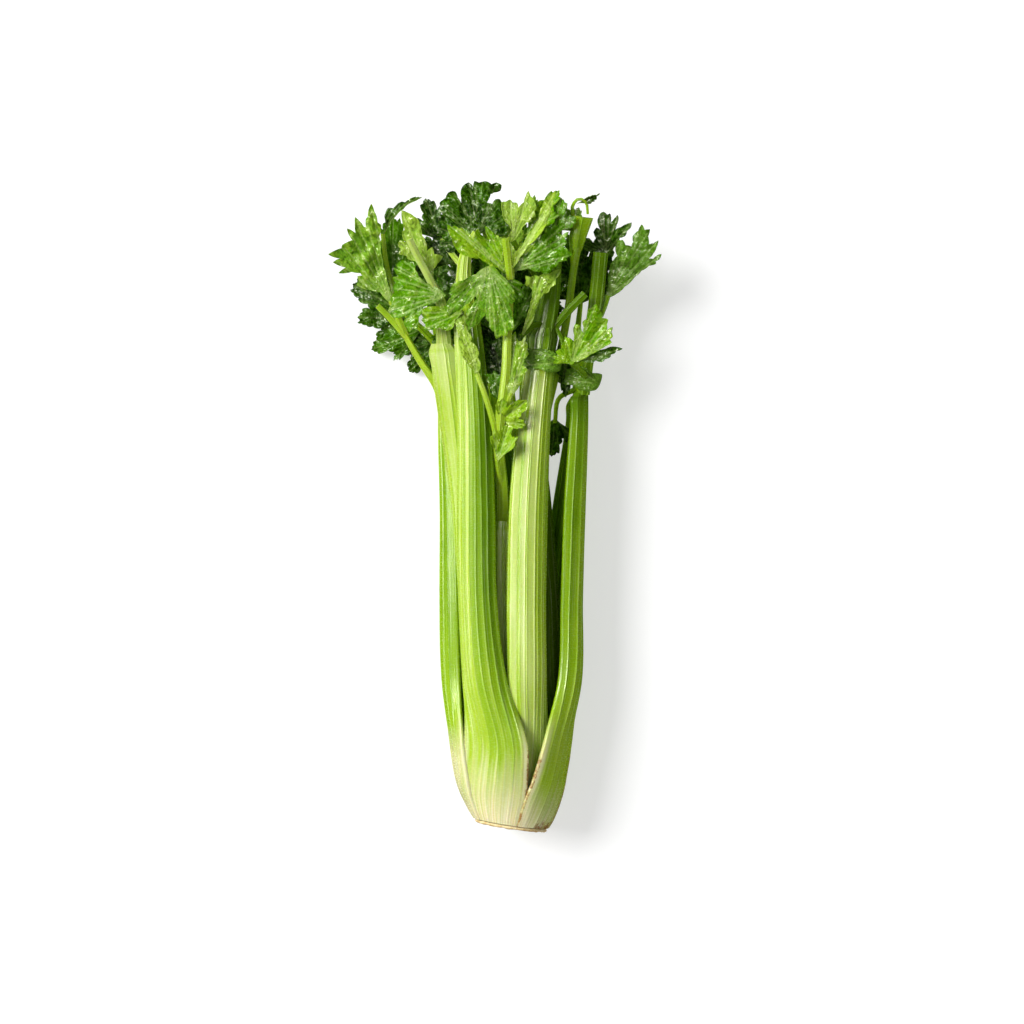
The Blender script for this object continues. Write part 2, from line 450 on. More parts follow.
        [Stem([(-3.8, 34.7, 35), (-8, 60, 38), (-12, 86, 43), (-14, 112, 48)], (2.8, 1.6))],
        [
            Leaf((-14, 110, 48), (-22, 150, 50), "broad", 0.3, fold=6),
            Leaf((-13, 100, 45), (-40, 118, 48), "small", 0.3, fold=6),
        ],
    ),
    "heart_right": (
        [Stem([(17, 18.7, 34), (15, 46, 38), (15, 76, 42), (16, 100, 45)], (2.4, 1.6))],
        [
            Leaf((16, 98, 45), (14, 128, 47), "broad", 0.3, fold=12),
            Leaf((15, 88, 43), (26, 98, 44), "small", 0.3, fold=8),
        ],
    ),
}

# ---- Settings a user would change ----


def linear(code):
    """An sRGB hex colour as linear red, green and blue."""
    parts = [int(code[i:i + 2], 16) / 255 for i in (1, 3, 5)]
    return tuple(c / 12.92 if c <= 0.04045 else ((c + 0.055) / 1.055) ** 2.4 for c in parts)


def colour(name, description, code):
    """A colour that a user may change, with an sRGB hex default."""
    return FloatVectorProperty(
        name=name, description=description, default=linear(code), subtype="COLOR", size=3, min=0, max=1
    )


class CeleryStalkSettings(PropertyGroup):
    rib_height: FloatProperty(
        name="Rib height", description="How far a stalk's strings stand out of its back",
        default=0.55 * MM, unit="LENGTH",
    )
    step: FloatProperty(
        name="Step", description="Distance between rows of faces along a stalk",
        default=2.6 * MM, unit="LENGTH",
    )
    pale: colour("Pale band", "Skin of the palest bands", "#bccd76")
    lime: colour("Lime band", "Skin between pale and green", "#a4c22a")
    green: colour("Green band", "Skin of the green bands", "#86ae0c")
    deep: colour("Deep band", "Skin of the greenest stalks", "#628c02")
    dark: colour("Dark band", "Skin near the joints", "#446000")
    string: colour("String", "Skin on top of the strings", "#dde8a8")
    foot: colour("Foot", "Skin where the stalks wrap the crown", "#dad08e")
    cream: colour("Cream", "The palest streaks at the foot", "#ece5be")
    stain: colour("Stain", "Dried marks along the edges at the foot", "#8a5408")


class CeleryCrownSettings(PropertyGroup):
    flesh: colour("Flesh", "Freshly cut stem", "#ece3bd")
    drying: colour("Drying flesh", "Cut stem that starts to dry", "#dcc891")
    dry: colour("Dry strings", "Ends of the strings", "#bf9a58")
    oxidised: colour("Rim", "The oxidised rim of the cut", "#7a5424")


class CeleryLeafSettings(PropertyGroup):
    thickness: FloatProperty(
        name="Thickness", description="Thickness of a leaf blade", default=0.45 * MM, unit="LENGTH",
    )
    tooth: FloatProperty(
        name="Tooth depth", description="Depth of the teeth over a leaf's length", default=0.1,
    )
    grain: FloatProperty(
        name="Mesh size", description="Distance between a blade's vertices",
        default=0.85 * MM, unit="LENGTH",
    )
    quilt: FloatProperty(
        name="Quilting", description="How far a blade rises between its veins",
        default=0.6 * MM, unit="LENGTH",
    )
    wave: FloatProperty(
        name="Waves", description="How far a blade's margin waves up and down",
        default=3.0 * MM, unit="LENGTH",
    )
    dark: colour("Dark leaf", "The darkest leaves", "#122e00")
    mid: colour("Green leaf", "Leaves of middling green", "#569200")
    lime: colour("Lime leaf", "The palest young leaves", "#a4c81c")
    vein: colour("Vein", "Main veins", "#c0d47a")
    back: colour("Leaf back", "The dull underside of a leaf", "#b2cc60")
    unrest: FloatProperty(
        name="Unrest", description="How far lobes rise or hang at random, over the leaf's length",
        default=0.09,
    )
    seed: IntProperty(name="Seed", description="Seed of the random draws in the leaves", default=11)


class CeleryStageSettings(PropertyGroup):
    camera_distance: FloatProperty(
        name="Camera distance", description="Height of the camera over the head",
        default=2.2, unit="LENGTH",
    )
    frame_width: FloatProperty(
        name="Frame width", description="Width of the picture where the head lies",
        default=598 * MM, unit="LENGTH",
    )
    key: FloatProperty(name="Key light", description="Strength of the main light", default=4.0)
    fill: FloatProperty(name="Fill lights", description="Strength of the soft fill lights", default=0.25)
    sheen: FloatProperty(
        name="Sheen lights", description="Strength of the lights seen only in wet skin", default=2.0,
    )
    sky: FloatProperty(name="Sky", description="Strength of the even light all round", default=0.14)
    glow: FloatProperty(name="Floor glow", description="Light that comes through the floor", default=0.55)
    floor: colour("Floor", "The plain surface under the head", "#bcbcbc")


# ---- Materials ----

VALUES = ("rib", "tone", "edge", "fan", "reach")  # what every mesh carries at its vertices for its material


def add_node(tree, kind, *values, inputs=None, stops=(), **settings):
    """Adds a node with its settings, its first inputs in order, others by name, and a ramp's stops. An
    input is a number, a colour, an output, or a node, which stands for the first output it has in use."""
    node = tree.nodes.new("ShaderNode" + kind)
    for name, value in settings.items():
        setattr(node, name, value)
    given = list(zip([socket for socket in node.inputs if socket.enabled], values))
    given += [(node.inputs[name], value) for name, value in (inputs or {}).items()]
    for socket, value in given:
        if isinstance(value, bpy.types.Node):
            value = next(output for output in value.outputs if output.enabled)
        if isinstance(value, bpy.types.NodeSocket):
            tree.links.new(value, socket)
        else:
            socket.default_value = (*value, 1) if socket.type == "RGBA" else value
    for k, (position, value) in enumerate(stops):
        elements = node.color_ramp.elements
        element = elements[k] if k < len(elements) else elements.new(1)
        element.position = position
        element.color = (*value, 1)
    return node


def new_material(name):
    """An empty material, and the function that adds a node to it."""
    material = bpy.data.materials.new(name)
    material.use_nodes = True
    material.node_tree.nodes.clear()
    return material, partial(add_node, material.node_tree)


def mesh_values(node, *names):
    """The place on a piece in millimetres, and the values of that name that its mesh carries."""
    coordinates = node("TexCoord").outputs["Object"]
    place = node("VectorMath", coordinates, 1 / MM, operation="SCALE")
    return place, *(node("Attribute", attribute_name=name).outputs["Fac"] for name in names)


def stretched_noise(node, place, stretch, detail, roughness=0.6):
    """Noise with so many waves per millimetre along each axis."""
    at = node("VectorMath", place, stretch, operation="MULTIPLY")
    return node("TexNoise", inputs={"Vector": at, "Scale": 1, "Detail": detail, "Roughness": roughness})


def banded_skin(node, settings, greenness, rib, threads, wrinkles):
    """Pale and green bands, with strings on the ridges and fine threads and flecks between them."""
    skin = node("ValToRGB", greenness, stops=[
        (0.0, settings.pale), (0.25, settings.lime), (0.5, settings.green), (0.75, settings.deep),
        (1.0, settings.dark),
    ])
    strings = node("Math", rib, node("MapRange", greenness, 0, 0.7, 0.25, 0.04), operation="MULTIPLY")
    skin = node("Mix", strings, skin, settings.string, data_type="RGBA")
    pallor = node("MapRange", greenness, 0.2, 0.7, 1, 0.35)
    fine = node("Math", node("MapRange", threads, 0.56, 0.7, 0, 0.25), pallor, operation="MULTIPLY")
    flecks = node("Math", node("MapRange", wrinkles, 0.62, 0.74, 0, 0.25), pallor, operation="MULTIPLY")
    flecks = node("Math", fine, flecks, operation="MAXIMUM")
    return node("Mix", flecks, skin, settings.string, data_type="RGBA")


def cream_foot(node, settings, skin, x, y, edge, fibres, threads):
    """Skin that turns cream at the foot, in streaks up the fibres, less high on the right, and along the
    edges and up the left side. Places are in millimetres."""
    streaks = node("Math", fibres, 70, y, operation="MULTIPLY_ADD")
    streaks = node("Math", node("MapRange", x, 18, 28), 20, streaks, operation="MULTIPLY_ADD")
    foot = node("MapRange", streaks, CUT_END + 40, CUT_END + 82, 1, 0)
    for across, along in (
        (node("MapRange", edge, 0.2, 0.8), node("MapRange", y, -120, -145)),
        (node("MapRange", x, -15, -21), node("MapRange", y, -126, -148)),
    ):
        pale = node("Math", across, along, operation="MULTIPLY")
        foot = node("Math", foot, node("Math", pale, 0.8, operation="MULTIPLY"), operation="MAXIMUM")
    bleached = node("MapRange", threads, 0.42, 0.62)
    cream = node("Mix", bleached, settings.cream, settings.foot, data_type="RGBA")
    return node("Mix", foot, skin, cream, data_type="RGBA")


def dried_skin(node, settings, skin, x, y, edge, spots):
    """Skin with dried marks along the seam between the front stalks and at the ends of the cut. Places are
    in millimetres."""
    level = node("Math", x, SLANT, y, operation="MULTIPLY_ADD")
    dried = node("Math", node("MapRange", y, -120, -150), node("MapRange", x, -16, 0), operation="MULTIPLY")
    dried = node("Math", dried, node("MapRange", edge, 0.7, 1), operation="MULTIPLY")
    for across, along in (
        (node("MapRange", x, 14, 24), node("MapRange", level, -168, -183)),
        (node("MapRange", x, -16, -20), node("MapRange", y, -160, -172)),
    ):
        mark = node("Math", across, along, operation="MULTIPLY")
        dried = node("Math", dried, mark, operation="MAXIMUM")
    dried = node("MapRange", node("Math", dried, spots, operation="MULTIPLY"), 0.38, 0.54, 0, 0.85)
    return node("Mix", dried, skin, settings.stain, data_type="RGBA")


def skin_material(settings):
    """Fresh celery skin, as grown: moist and glossy, in pale and green bands between fine pale strings,
    with long fibres and tiny cross wrinkles. It fades in streaks to cream at the foot, where edges dry."""
    material, node = new_material("celery_skin")
    place, rib, tone, edge, fan, reach = mesh_values(node, *VALUES)
    x, y = node("SeparateXYZ", place).outputs[:2]
    laid = node("CombineXYZ", fan, reach)
    fibres = stretched_noise(node, laid, (0.6, 0.006, 0), 3, 0.5)  # 1.7 mm apart, as a stalk's bundles are
    threads = stretched_noise(node, laid, (1.6, 0.012, 0), 2, 0.5)  # 0.6 mm apart, between the bundles
    wrinkles = stretched_noise(node, place, (0.45, 1.3, 0.45), 3, 0.7)  # 0.8 mm apart, across the stalk
    patches = stretched_noise(node, place, (0.05, 0.03, 0.05), 2)  # 20 to 30 mm long, greener or paler
    spots = stretched_noise(node, place, (0.35, 0.35, 0.35), 4, 0.7)  # 3 mm wide, where the skin dries

    greenness = node("Math", fibres, 0.5, tone, operation="MULTIPLY_ADD")
    greenness = node("Math", patches, 0.3, greenness, operation="MULTIPLY_ADD")
    greenness = node("MapRange", greenness, 0.4, 1.4)
    skin = banded_skin(node, settings, greenness, rib, threads, wrinkles)
    skin = cream_foot(node, settings, skin, x, y, edge, fibres, threads)
    skin = dried_skin(node, settings, skin, x, y, edge, spots)
    bump = node("Bump", inputs={"Strength": 0.4, "Distance": 0.3 * MM, "Height": wrinkles})
    bump = node("Bump", inputs={"Strength": 0.35, "Distance": 0.6 * MM, "Height": fibres, "Normal": bump})
    node("OutputMaterial", node("BsdfPrincipled", inputs={
        "Base Color": skin,
        "Roughness": node("MapRange", wrinkles, 0.35, 0.7, 0.32, 0.16),
        "IOR": 1.42,
        "Specular IOR Level": node("MapRange", greenness, 0.45, 0.85, 0.55, 0.2),
        "Subsurface Weight": 0.25,
        "Subsurface Radius": (0.6, 1.0, 0.1),
        "Subsurface Scale": 3 * MM,
        "Normal": bump,
    }))
    return material


def leaf_material(settings):
    """A fresh celery leaf, as grown: waxy and wet on top, quilted between pale sunken veins, duller and
    greyer underneath."""
    material, node = new_material("celery_leaf")
    place, vein, tone, under, fan, reach = mesh_values(node, *VALUES)
    fan_place = node("CombineXYZ", fan, reach, tone)
    streaks = stretched_noise(node, fan_place, (0.3, 0.05, 30), 3)  # 3 degrees apart, as fine veins fan out
    mottle = stretched_noise(node, place, (0.16, 0.16, 0.16), 4)  # 6 mm wide, as between the main veins
    crinkle = stretched_noise(node, place, (0.4, 0.4, 0.4), 3)  # 2.5 mm wide, as between the fine veins
    blisters = node("Math", node("Math", mottle, 0.6, operation="MULTIPLY"), crinkle, operation="ADD")
    shade = node("Math", tone, 0.72, operation="SUBTRACT")
    shade = node("Math", blisters, 0.9, shade, operation="MULTIPLY_ADD")

    half_dark = tuple((a + b) / 2 for a, b in zip(settings.dark, settings.mid))
    blade = node("ValToRGB", shade, stops=[
        (0.0, settings.dark), (0.25, half_dark), (0.5, settings.mid), (1.0, settings.lime),
    ])
    veined = node("Math", vein, node("MapRange", shade, 0.1, 0.6, 0.12, 0.45), operation="MULTIPLY")
    for share, over in (
        (node("Math", under, 0.6, operation="MULTIPLY"), settings.back),
        (node("MapRange", streaks, 0.54, 0.7, 0, 0.12), settings.vein),
        (node("MapRange", streaks, 0.5, 0.36, 0, 0.5), settings.dark),
        (veined, settings.vein),
    ):
        blade = node("Mix", share, blade, over, data_type="RGBA")

    bump = node("Bump", inputs={"Strength": 0.8, "Distance": 1.8 * MM, "Height": crinkle})
    bump = node("Bump", inputs={"Strength": 0.5, "Distance": 1.2 * MM, "Height": streaks, "Normal": bump})
    node("OutputMaterial", node("BsdfPrincipled", inputs={
        "Base Color": blade,
        "Roughness": node("MapRange", mottle, 0.3, 0.7, 0.12, 0.2),
        "IOR": 1.45,
        "Specular IOR Level": node("MapRange", blisters, 0.8, 0.87, 0.03, 1),  # wet on the blisters alone
        "Normal": bump,
    }))
    return material


def crown_material(settings):
    """Trimmed celery stem, as cut and left to dry: cream flesh, darker strings and a brown oxidised rim."""
    material, node = new_material("celery_cut_stem")
    place, rib = mesh_values(node, "rib")
    spots = stretched_noise(node, place, (0.4, 0.4, 0.4), 5, 0.7)  # 2.5 mm wide, as the flesh dries
    dryness = node("Math", rib, 0.55, spots, operation="MULTIPLY_ADD")
    flesh = node("ValToRGB", dryness, stops=[
        (0.32, settings.flesh), (0.6, settings.drying), (0.8, settings.dry), (1.0, settings.oxidised),
    ])
    bump = node("Bump", inputs={"Strength": 0.6, "Distance": 0.6 * MM, "Height": spots})
    node("OutputMaterial", node("BsdfPrincipled", inputs={
        "Base Color": flesh,
        "Roughness": 0.7,
        "Normal": bump,
    }))
    return material


def floor_material(settings):
    """Opal white acrylic on a light table: matt on top, and softly lit through from below."""
    material, node = new_material("opal_acrylic")
    node("OutputMaterial", node("BsdfPrincipled", inputs={
        "Base Color": settings.floor,
        "Roughness": 0.9,
        "Specular IOR Level": 0.1,
        "Emission Color": (1, 1, 1),
        "Emission Strength": settings.glow,
    }))
    return material


# ---- Mesh helpers ----


class Shell:
    """Vertices in millimetres, faces and per-vertex values of one piece while it is put together."""

    def __init__(self):
        self.points, self.faces, self.slots, self.values = [], [], [], []
        self.count = 0

    def add(self, points, faces, rib, tone, edge, fan=0, reach=0, slot=0):
        """Adds one closed part, with its values as numbers or one for each vertex."""
        n = len(points)
        self.points.append(np.asarray(points, float))
        self.faces += [tuple(i + self.count for i in face) for face in faces]
        self.slots += [slot] * len(faces)
        values = (rib, tone, edge, fan, reach)
        self.values.append(np.stack([np.broadcast_to(value, n) for value in values], 1))
        self.count += n

    def build(self, name, materials):
        """Makes the piece, with its materials and the values they read, shaded smooth."""
        mesh = bpy.data.meshes.new(name)
        mesh.from_pydata((np.concatenate(self.points) * MM).tolist(), [], self.faces)
        values = np.concatenate(self.values)
        for column, title in enumerate(VALUES):
            layer = mesh.attributes.new(title, "FLOAT", "POINT")
            layer.data.foreach_set("value", values[:, column].astype(np.float32))
        for material in materials:
            mesh.materials.append(material)
        mesh.polygons.foreach_set("material_index", self.slots)
        piece = bpy.data.objects.new(name, mesh)
        bpy.context.collection.objects.link(piece)
        bpy.ops.object.select_all(action="DESELECT")
        piece.select_set(True)
        bpy.context.view_layer.objects.active = piece
        bpy.ops.object.shade_smooth_by_angle(angle=math.radians(SMOOTH_ANGLE))
        return piece


def row_at(rows, y):
    """A smooth curve through rows of numbers, read at the given value of their first column."""
    i = next((n for n in range(len(rows) - 1) if y <= rows[n + 1][0]), len(rows) - 2)
    a, b = np.array(rows[i], float), np.array(rows[i + 1], float)
    step = b[0] - a[0]
    t = min(max((y - a[0]) / step, 0), 1)

    def slope(n):
        before = np.array(rows[max(n - 1, 0)], float)
        after = np.array(rows[min(n + 1, len(rows) - 1)], float)
        return (after - before) / (after[0] - before[0])

    row = (2 * t**3 - 3 * t**2 + 1) * a + (t**3 - 2 * t**2 + t) * step * slope(i)
    return row + (3 * t**2 - 2 * t**3) * b + (t**3 - t**2) * step * slope(i + 1)


def curve_through(points, steps):
    """Points evenly spaced along a Catmull-Rom curve, and the curve's direction at each."""
    p = np.array(points, float)
    p = np.vstack([2 * p[0] - p[1], p, 2 * p[-1] - p[-2]])
    samples = []
    for i in range(1, len(p) - 2):
        a, b, c, d = p[i - 1:i + 3]
        for t in np.linspace(0, 1, CURVE_SAMPLES, endpoint=i == len(p) - 3):
            samples.append(0.5 * (
                2 * b + (c - a) * t + (2 * a - 5 * b + 4 * c - d) * t**2 + (3 * b - a - 3 * c + d) * t**3
            ))
    samples = np.array(samples)
    lengths = np.r_[0, np.cumsum(np.linalg.norm(np.diff(samples, axis=0), axis=1))]
    at = np.linspace(0, lengths[-1], steps + 1)
    places = np.stack([np.interp(at, lengths, samples[:, k]) for k in range(3)], 1)
    along = np.gradient(places, axis=0)
    return places, along / np.linalg.norm(along, axis=1)[:, None]


def section(width, arc, thickness, edge, ridges, height, flat):
    """A stalk's crescent outline: points across and out of its back, how much each is on a ridge, how near
    a side edge it is, and where it is over the width. Ridges are given as (place over the width, height),
    and flat is how flat the back is between them."""
    half = math.radians(arc)
    bow = width / 2 / math.sin(half)
    corners = np.array([0, *(place for place, _ in ridges), 1])
    share = [np.linspace(0, 1, BACK_POINTS + 2)[1:-1], [0, 1]]
    for place, _ in ridges:
        share.append(place + RIDGE_SAMPLES)
    share = np.sort(np.concatenate(share))
    angle = half * (1 - 2 * share)
    facet = np.clip(np.searchsorted(corners, share, "right") - 1, 0, len(corners) - 2)
    low, high = half * (1 - 2 * corners[facet]), half * (1 - 2 * corners[facet + 1])
    chord = bow * np.cos((low - high) / 2) / np.cos(angle - (low + high) / 2)
    rib = np.zeros(len(share))
    for place, size in ridges:
        rib = np.maximum(rib, size * np.exp(-((share - place) / RIDGE_WIDTH) ** 2))
    radius = bow + flat * (chord - bow) + height * rib
    back = np.stack([radius * np.sin(angle), radius * np.cos(angle) - bow], 1)
    inner = bow - edge
    tip = np.array([inner * math.sin(half), inner * math.cos(half) - bow])
    turns = np.linspace(0, math.pi, EDGE_POINTS + 2)[1:-1]

    def rounded(side):
        """The points round the side edge at the left, 1, or at the right, -1."""
        outward = np.array([side * math.sin(half), math.cos(half)])
        corner = np.array([side * bow * math.sin(half), bow * math.cos(half) - bow])
        middle = (corner + tip * (side, 1)) / 2
        past = np.array([side * outward[1], -side * outward[0]])
        return [
            middle + edge / 2 * (math.cos(t) * outward + EDGE_BULGE * math.sin(t) * past)
            for t in (turns if side < 0 else turns[::-1])
        ]

    q = np.linspace(-1, 1, FRONT_POINTS)
    front = np.stack([tip[0] * q, tip[1] + (-thickness - tip[1]) * (1 - q**2)], 1)
    outline = np.vstack([back, rounded(-1), front, rounded(1)])
    ones = np.ones(EDGE_POINTS)
    near_edge = np.clip(1 - np.minimum(share, 1 - share) * EDGE_SHARE, 0, 1)
    near_edge = np.r_[near_edge, ones, np.full(FRONT_POINTS, 0.3), ones]
    share = np.r_[share, ones, (1 - q) / 2, 0 * ones]
    return outline, np.r_[rib, np.zeros(len(outline) - len(rib))], near_edge, share


def closed(rings):
    """The points of a tube: its rings, and the middle of the first and of the last."""
    return np.vstack([*rings, rings[0].mean(0), rings[-1].mean(0)])


def with_ends(rings, value):
    """The values of a tube's rings, and one for the middle of either end."""
    return np.r_[np.concatenate(rings), value, value]


def tube_faces(rings, n):
    """Faces round rings of n vertices each, with a fan at either end to one of two more vertices."""
    faces = []
    for k in range(rings - 1):
        for i in range(n):
            a, b = k * n + i, k * n + (i + 1) % n
            faces.append((a, b, b + n, a + n))
    first, last = rings * n, rings * n + 1
    top = (rings - 1) * n
    for i in range(n):
        faces.append((first, (i + 1) % n, i))
        faces.append((last, top + i, top + (i + 1) % n))
    return faces


def wander(x, seed, scale):
    """Smooth random values between -1 and 1 along x, with so many waves over its unit."""
    return np.array([noise.noise(Vector((v * scale, seed * 7.31, 0.5))) for v in np.atleast_1d(x)])


# ---- The crown ----


def towards_foot(y, start, length):
    """How far Y has come from start towards the foot, from 0 to 1 over the given length."""
    return np.clip((start - y) / length, 0, 1)


def slanted(points):
    """Leans the foot of the head over, so that its cut end runs out of square."""
    share = towards_foot(points[:, 1], SLANT_FROM, SLANT_LENGTH)
    points[:, 1] -= SLANT * (points[:, 0] - AXIS_X) * share**2 * (3 - 2 * share)
    return points


def build_crown(material):
    """Builds the trimmed stem, from its cut face to its inner end between the stalks."""
    turn = np.linspace(0, 2 * math.pi, CROWN_SIDES, endpoint=False)

    def ring(radius, y):
        """A ring round the head's axis, at one Y or at one for each of its points."""
        x, z = AXIS_X + radius * np.cos(turn), AXIS_Z + FLATTEN * radius * np.sin(turn)
        return np.stack([x, np.broadcast_to(y, len(turn)), z], 1)

    rings, ribs = [], []
    for radius in CUT_RADII:
        places = [(math.cos(t) * radius / 3, math.sin(t) * radius / 3, 3) for t in turn]
        rough = np.array([noise.noise(Vector(place)) for place in places])
        bundles = np.cos(turn * 9 + radius * 0.9) * (0.5 + 0.5 * math.cos(radius * 1.05))
        rim = max(0, radius - 20)
        rings.append(ring(radius, CUT_END + 0.45 * (1 - bundles) * 0.6 + 0.4 * rough + 0.5 * rim))
        ribs.append(np.clip(0.25 - 0.35 * bundles + 0.3 * max(0, (radius - 17) / 5), 0, 1))
    for radius, depth in CORE:
        rings.append(ring(radius, CUT_END + depth))
        ribs.append(np.full(CROWN_SIDES, 0.2))
    ends = [[AXIS_X, CUT_END + 0.3, AXIS_Z], [AXIS_X, CUT_END + CORE_END, AXIS_Z]]
    points = slanted(np.vstack([*rings, *ends]))
    shell = Shell()
    shell.add(points, tube_faces(len(rings), CROWN_SIDES), np.r_[np.concatenate(ribs), 0.2, 0], 0, 0)
    piece = shell.build("celery_crown", [material])
    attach(piece, "root")
    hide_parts("crown")


# ---- Stalks ----


def stalk_rows(stalk):
    """[Y, X, Z, facing, width, arc, thickness] of a stalk, from its foot on the crown to its joint."""
    rows = []
    for y, outer, turned, spread in HEAD:
        radius = outer - RING_DEPTH[stalk.ring]
        half = stalk.span * spread / 2
        facing = stalk.around + turned
        around = math.radians(facing)
        rows.append((
            y, AXIS_X + radius * math.cos(around), AXIS_Z + radius * FLATTEN * math.sin(around),
            facing, 2 * radius * math.sin(math.radians(half)), half, SHEATH,
        ))
    return rows + [(*row, FREE_ARC, STALK_THICKNESS) for row in stalk.free]


def facets_of(name, rng):
    """Where the facets across a stalk's back end, from its right edge to its left one, and how much greener
    each is than the rest."""
    if name in FACETS:
        ends, shifts = np.array(FACETS[name]).T
        return 1 - np.r_[0, ends[:-1]][::-1], shifts[::-1]
    widths = rng.uniform(0.5, 1.5, HIDDEN_FACETS)
    return np.cumsum(widths) / widths.sum(), rng.uniform(-0.25, 0.25, HIDDEN_FACETS)


def row_heights(joint, step):
    """Y of every row of faces of a stalk."""
    return np.unique(np.round(np.r_[
        np.arange(FOOT, SLANT_FROM, step * FOOT_STEP),
        np.arange(SLANT_FROM, joint - FINE_ROWS, step),
        np.arange(joint - FINE_ROWS, joint, FINE_STEP),
        joint,
    ], 3))


def uneven_back(stalk, y, across, seed):
    """How far a stalk's back stands out of its plain outline, at places from 1 at its left edge to -1: it
    is a little uneven, and its edges tuck under their neighbours at the foot."""
    lift = 0.3 * wander(across * 3 + y * 0.02, seed + 1, 1.0) * np.clip(1 - across**2, 0, 1)
    lift -= towards_foot(y, TUCK_FROM, TUCK_LENGTH) * (
        stalk.tuck[0] * np.clip((across - 0.35) / 0.65, 0, 1) ** 1.5
        + stalk.tuck[1] * np.clip((-across - 0.35) / 0.65, 0, 1) ** 1.5
    )
    on_back = np.arange(len(across)) < len(across) - FRONT_POINTS - 2 * EDGE_POINTS
    return np.where(on_back, lift, 0)


def greens(stalk, y, to_joint, greener):
    """How green a row of a stalk is. Every facet has a green of its own, except low down, and the joint is
    ringed with a darker line."""
    ring_line = 0.15 * math.exp(-((to_joint - 4) / 1.2) ** 2)
    upward = np.clip((TOP_FROM - to_joint) / TOP_LENGTH, 0, 1)
    tone = stalk.tone + (stalk.top - stalk.tone) * upward
    evened = 0.7 * towards_foot(y, EVEN_FROM, EVEN_LENGTH)
    return tone + greener * (1 - evened) - 0.12 * evened + ring_line


def build_stalk(name, stalk, settings, material):
    """Builds one stalk as rows of outlines, from its foot up to its joint."""
    rows = stalk_rows(stalk)
    joint = rows[-1][0]
    seed = sum(map(ord, name))
    rng = np.random.default_rng(seed)
    ends, shifts = facets_of(name, rng)
    sizes = rng.uniform(0.35, 1, len(ends))
    heights = row_heights(joint, settings.step / MM)
    rings, ribs, edges, tones, shares = [], [], [], [], []
    for y in heights:
        _, x, z, facing, width, arc, thickness = row_at(rows, y)
        to_joint = max(0, joint - y)
        at_foot = float(towards_foot(y, FLAT_FROM, FLAT_LENGTH))
        width *= 1 + JOINT_SWELL * math.exp(-((to_joint - JOINT_LENGTH) / JOINT_LENGTH) ** 2)
        # The ridges wander along the stalk, and sink at its foot and its joint.
        drift = np.array([wander(y, seed + 3 * k, 0.012)[0] for k in range(len(ends) - 1)])
        ridges = list(zip(ends[:-1] + 0.012 * drift, sizes))
        height = settings.rib_height / MM * (0.85 + 0.3 * wander(y, seed, 0.03)[0])
        height *= (1 - 0.6 * at_foot) * (1 - 0.6 * math.exp(-((to_joint / RIDGE_FADE) ** 2)))
        outline, rib, edge, share = section(
            width, arc, thickness, STALK_EDGE, ridges, height, 0.85 - 0.45 * at_foot
        )
        outline[:, 1] += uneven_back(stalk, y, 1 - 2 * share, seed)
        outline *= 0.76 + 0.24 * math.sin(math.pi / 2 * min(1, to_joint / JOINT_CLOSE))
        c, s = math.cos(math.radians(facing)), math.sin(math.radians(facing))
        u, v = outline[:, 0], outline[:, 1]
        rings.append(np.stack([x + u * s + v * c, np.full(len(u), y), z - u * c + v * s], 1))
        greener = shifts[np.clip(np.searchsorted(ends, share), 0, len(ends) - 1)]
        tones.append(greens(stalk, y, to_joint, greener))
        ribs.append(rib * (1 - 0.7 * at_foot))
        edges.append(edge)
        shares.append(share)

    points = slanted(closed(rings))
    points[:, 2] = np.maximum(points[:, 2], 0)
    faces = [face[::-1] for face in tube_faces(len(rings), len(rings[0]))]
    across = (with_ends(shares, 0.5) + seed) * FIBRE_WIDTH
    along = np.r_[np.repeat(heights, len(rings[0])), FOOT, joint]
    shell = Shell()
    shell.add(
        points, faces, with_ends(ribs, 0), with_ends(tones, stalk.tone), with_ends(edges, 0), across, along
    )
    piece = shell.build(f"celery_stalk_{name}", [material])
    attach(piece, "root")
    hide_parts(f"stalk_{name}")


# ---- Leaves ----


def flank_of(lobe, limit, length, tooth, rng):
    """One flank of a lobe, from its tip out to where the lobe ends: notches and teeth as (angle, reach)."""
    axis, reach = lobe
    width = abs(math.radians(limit - axis)) * reach * length
    teeth = max(0, round(width / TOOTH_WIDTH - 0.25))
    marks = []
    for k in range(teeth):
        for step, out in ((k + 0.5, -1), (k + 1 - TOOTH_LEAN, 1)):
            share = (step + rng.uniform(-0.06, 0.06)) / (teeth + 0.5)
            size = rng.uniform(0.8, 1.25) if out > 0 else 1
            edge = reach * (1 - LOBE_DROP * share**2)
            marks.append((axis + (limit - axis) * share, edge + out * size * tooth / 2))
    return marks


def bowed(a, b, full):
    """Points from a up to b along an edge that swells out to the left of its direction."""
    gap = b - a
    size = np.hypot(*gap)
    out = np.array([-gap[1], gap[0]]) / size
    steps = max(2, int(size / MARGIN_STEP))
    shares = np.arange(steps) / steps
    swell = full * size * np.sin(math.pi * shares) ** 0.8
    return a + gap * shares[:, None] + out * swell[:, None]


def toothed(a, b, towards_tip, full):
    """Points from a up to b along the flank of a tooth that carries a smaller tooth of its own."""
    gap = b - a
    if np.hypot(*gap) < SECOND_TEETH:
        return bowed(a, b, full)
    out = np.array([-gap[1], gap[0]])
    steps = ((0.5, 0.15), (0.62, 0.01)) if towards_tip else ((0.38, 0.01), (0.5, 0.15))
    stops = [a, *(a + gap * share + out * rise for share, rise in steps), b]
    return np.concatenate([bowed(p, q, full) for p, q in zip(stops, stops[1:])])


